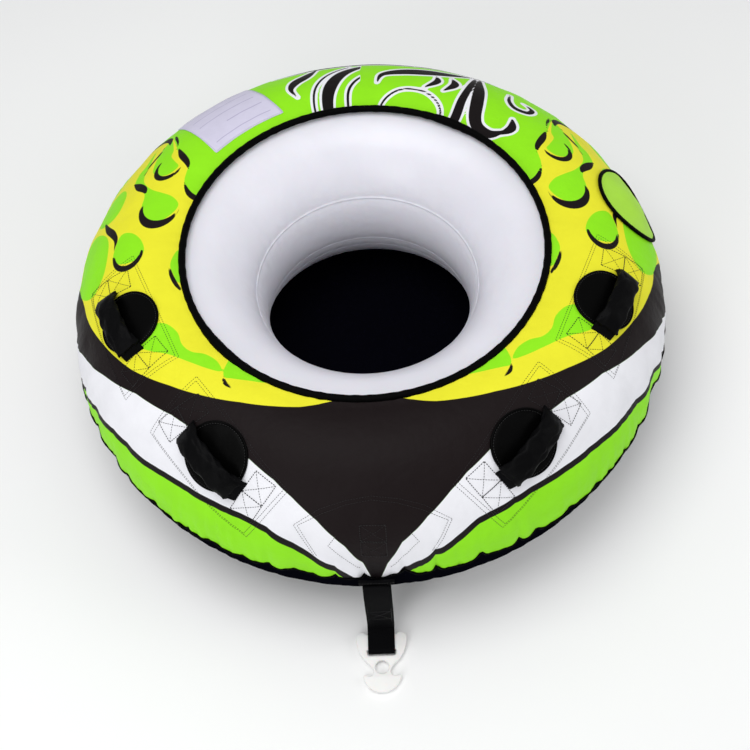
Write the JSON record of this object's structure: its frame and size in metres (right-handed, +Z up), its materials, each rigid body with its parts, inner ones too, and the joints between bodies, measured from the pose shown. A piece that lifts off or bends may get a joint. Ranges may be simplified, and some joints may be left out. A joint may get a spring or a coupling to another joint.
{
  "type": "towable water tube",
  "caption": "Inflatable ring for towing one rider behind a boat, in a printed fabric cover with padded grips, a covered valve and a tow strap with a hook.",
  "frame": {"origin": "centre of the base cover's flat underside, on the ring's axis", "axes": "+Z up along the ring's axis, -Y towards the tow hook, +X to the right seen from the tow hook's side"},
  "size_m": [1.17, 1.3081, 0.4273],
  "materials": {
    "printed_fabric": "coated woven nylon, printed in lime, yellow, white and black",
    "lime_fabric": "coated woven nylon",
    "black_fabric": "coated woven nylon",
    "patch_fabric": "woven nylon backing",
    "label_fabric": "smooth sewn label cloth",
    "bladder_vinyl": "soft satin vinyl sheet",
    "black_tape": "folded woven tape",
    "webbing": "woven polyester webbing",
    "grip_foam": "foam under stretched neoprene",
    "guard_foam": "moulded foam pad",
    "hook_plastic": "moulded nylon, satin",
    "valve_plastic": "soft moulded vinyl, satin"
  },
  "bodies": {
    "tube": {"bladder_top_panel": "bladder_vinyl", "bladder_outer_wall": "bladder_vinyl", "bladder_lower_panel": "bladder_vinyl", "bladder_inner_wall": "bladder_vinyl", "top_cover": "printed_fabric", "base_cover": "black_fabric", "seat_floor": "black_fabric", "opening_binding": "black_tape", "hem_cord": "black_tape", "seam_welt": "black_tape", "strap_tail_low_front_left": "webbing", "strap_tail_high_front_left": "webbing", "anchor_web_low_front_left": "webbing", "anchor_web_high_front_left": "webbing", "knuckle_guard_front_left": "guard_foam", "reinforcement_patch_front_left": "patch_fabric", "strap_tail_low_rear_left": "webbing", "strap_tail_high_rear_left": "webbing", "anchor_web_low_rear_left": "webbing", "anchor_web_high_rear_left": "webbing", "knuckle_guard_rear_left": "guard_foam", "reinforcement_patch_rear_left": "patch_fabric", "strap_tail_low_front_right": "webbing", "strap_tail_high_front_right": "webbing", "anchor_web_low_front_right": "webbing", "anchor_web_high_front_right": "webbing", "knuckle_guard_front_right": "guard_foam", "reinforcement_patch_front_right": "patch_fabric", "strap_tail_low_rear_right": "webbing", "strap_tail_high_rear_right": "webbing", "anchor_web_low_rear_right": "webbing", "anchor_web_high_rear_right": "webbing", "knuckle_guard_rear_right": "guard_foam", "reinforcement_patch_rear_right": "patch_fabric", "valve_base": "valve_plastic", "valve_seat": "valve_plastic", "valve_opening_binding": "black_tape", "label_patch": "label_fabric", "tow_patch": "patch_fabric", "tow_anchor_webbing": "webbing", "tow_collar": "webbing"},
    "grip_front_left": {"grip_sleeve_front_left": "grip_foam", "grip_core_front_left": "webbing"},
    "grip_rear_left": {"grip_sleeve_rear_left": "grip_foam", "grip_core_rear_left": "webbing"},
    "grip_front_right": {"grip_sleeve_front_right": "grip_foam", "grip_core_front_right": "webbing"},
    "grip_rear_right": {"grip_sleeve_rear_right": "grip_foam", "grip_core_rear_right": "webbing"},
    "valve_flap": {"valve_flap": "lime_fabric", "valve_flap_piping": "black_tape"},
    "valve_cap": {"valve_cap": "valve_plastic"},
    "tow_strap": {"tow_strap": "webbing"},
    "tow_hook": {"tow_loop": "webbing", "tow_hook": "hook_plastic"}
  },
  "joints": [
    {"name": "grip_tilt_front_left", "type": "hinge", "parent": "tube", "child": "grip_front_left", "pos_m": [-0.26488, -0.42021, 0.36645], "axis": [0.6301, -0.7411, -0.2317], "range_deg": [-15, 15]},
    {"name": "grip_tilt_rear_left", "type": "hinge", "parent": "tube", "child": "grip_rear_left", "pos_m": [-0.43899, -0.15087, 0.38897], "axis": [-0.4194, 0.9064, -0.0508], "range_deg": [-15, 15]},
    {"name": "grip_tilt_front_right", "type": "hinge", "parent": "tube", "child": "grip_front_right", "pos_m": [0.26488, -0.42021, 0.36645], "axis": [-0.6301, -0.7411, -0.2317], "range_deg": [-15, 15]},
    {"name": "grip_tilt_rear_right", "type": "hinge", "parent": "tube", "child": "grip_rear_right", "pos_m": [0.43899, -0.15087, 0.38897], "axis": [0.4194, 0.9064, -0.0508], "range_deg": [-15, 15]},
    {"name": "valve_flap_lift", "type": "hinge", "parent": "tube", "child": "valve_flap", "pos_m": [0.44932, 0.09551, 0.39694], "axis": [0.2079, -0.9781, 0], "range_deg": [0, 110]},
    {"name": "valve_cap_turn", "type": "hinge", "parent": "tube", "child": "valve_cap", "pos_m": [0.51723, 0.10994, 0.34501], "axis": [0.7392, 0.1571, 0.6549], "range_deg": [-180, 180]},
    {"name": "tow_strap_swing", "type": "hinge", "parent": "tube", "child": "tow_strap", "pos_m": [0, -0.597, 0.203], "axis": [-1, 0, 0], "range_deg": [0, 85]},
    {"name": "tow_hook_pivot", "type": "hinge", "parent": "tow_strap", "child": "tow_hook", "pos_m": [0, -0.604, 0.027], "axis": [-1, 0, 0], "range_deg": [-70, 25]}
  ]
}
